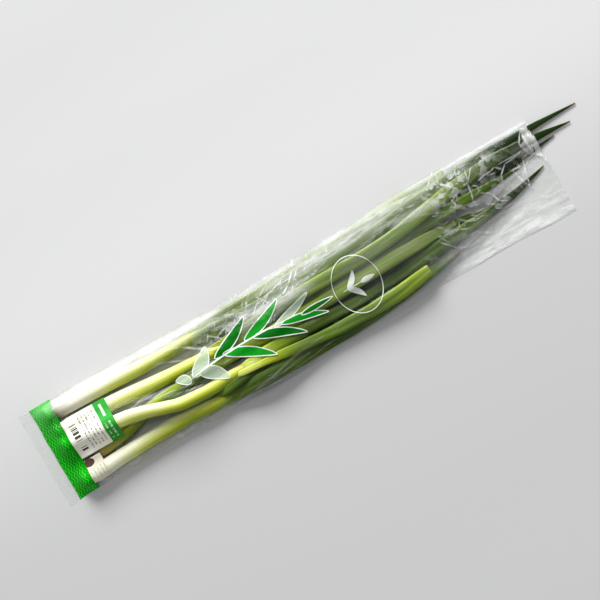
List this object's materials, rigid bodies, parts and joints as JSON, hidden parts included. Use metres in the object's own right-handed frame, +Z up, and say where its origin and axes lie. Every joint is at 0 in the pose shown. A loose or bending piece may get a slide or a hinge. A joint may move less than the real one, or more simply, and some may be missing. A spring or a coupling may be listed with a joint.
{
  "type": "bagged spring onion bunch",
  "caption": "Large spring onions with white shafts and long green tube leaves, lying in a clear film bag with a printed green band and paper labels.",
  "frame": {"origin": "on the flat underside of the bag, under the middle of the part's bounding box along its length", "axes": "+X along the bunch from the roots to the leaf tips, +Z up from the surface it lies on, +Y to the left seen from the roots"},
  "size_m": [0.706, 0.1187, 0.0335],
  "materials": {
    "onion_shaft": "smooth moist plant skin, white at the root end and turning yellow-green",
    "onion_leaves": "waxy ribbed plant skin, yellow-green at the fork and dark green further on",
    "film": "thin clear crinkled film with sharp highlights, printed at the root end and in the middle",
    "label": "matt printed paper with adhesive back"
  },
  "bodies": {
    "root": {"spring_onion_1_shaft": "onion_shaft", "spring_onion_1_leaves": "onion_leaves", "spring_onion_2_shaft": "onion_shaft", "spring_onion_2_leaves": "onion_leaves", "spring_onion_3_shaft": "onion_shaft", "spring_onion_3_leaves": "onion_leaves", "spring_onion_4_shaft": "onion_shaft", "spring_onion_4_leaves": "onion_leaves", "spring_onion_5_shaft": "onion_shaft", "spring_onion_5_leaves": "onion_leaves", "bag": "film", "price_label": "label", "small_label": "label"}
  },
  "joints": []
}
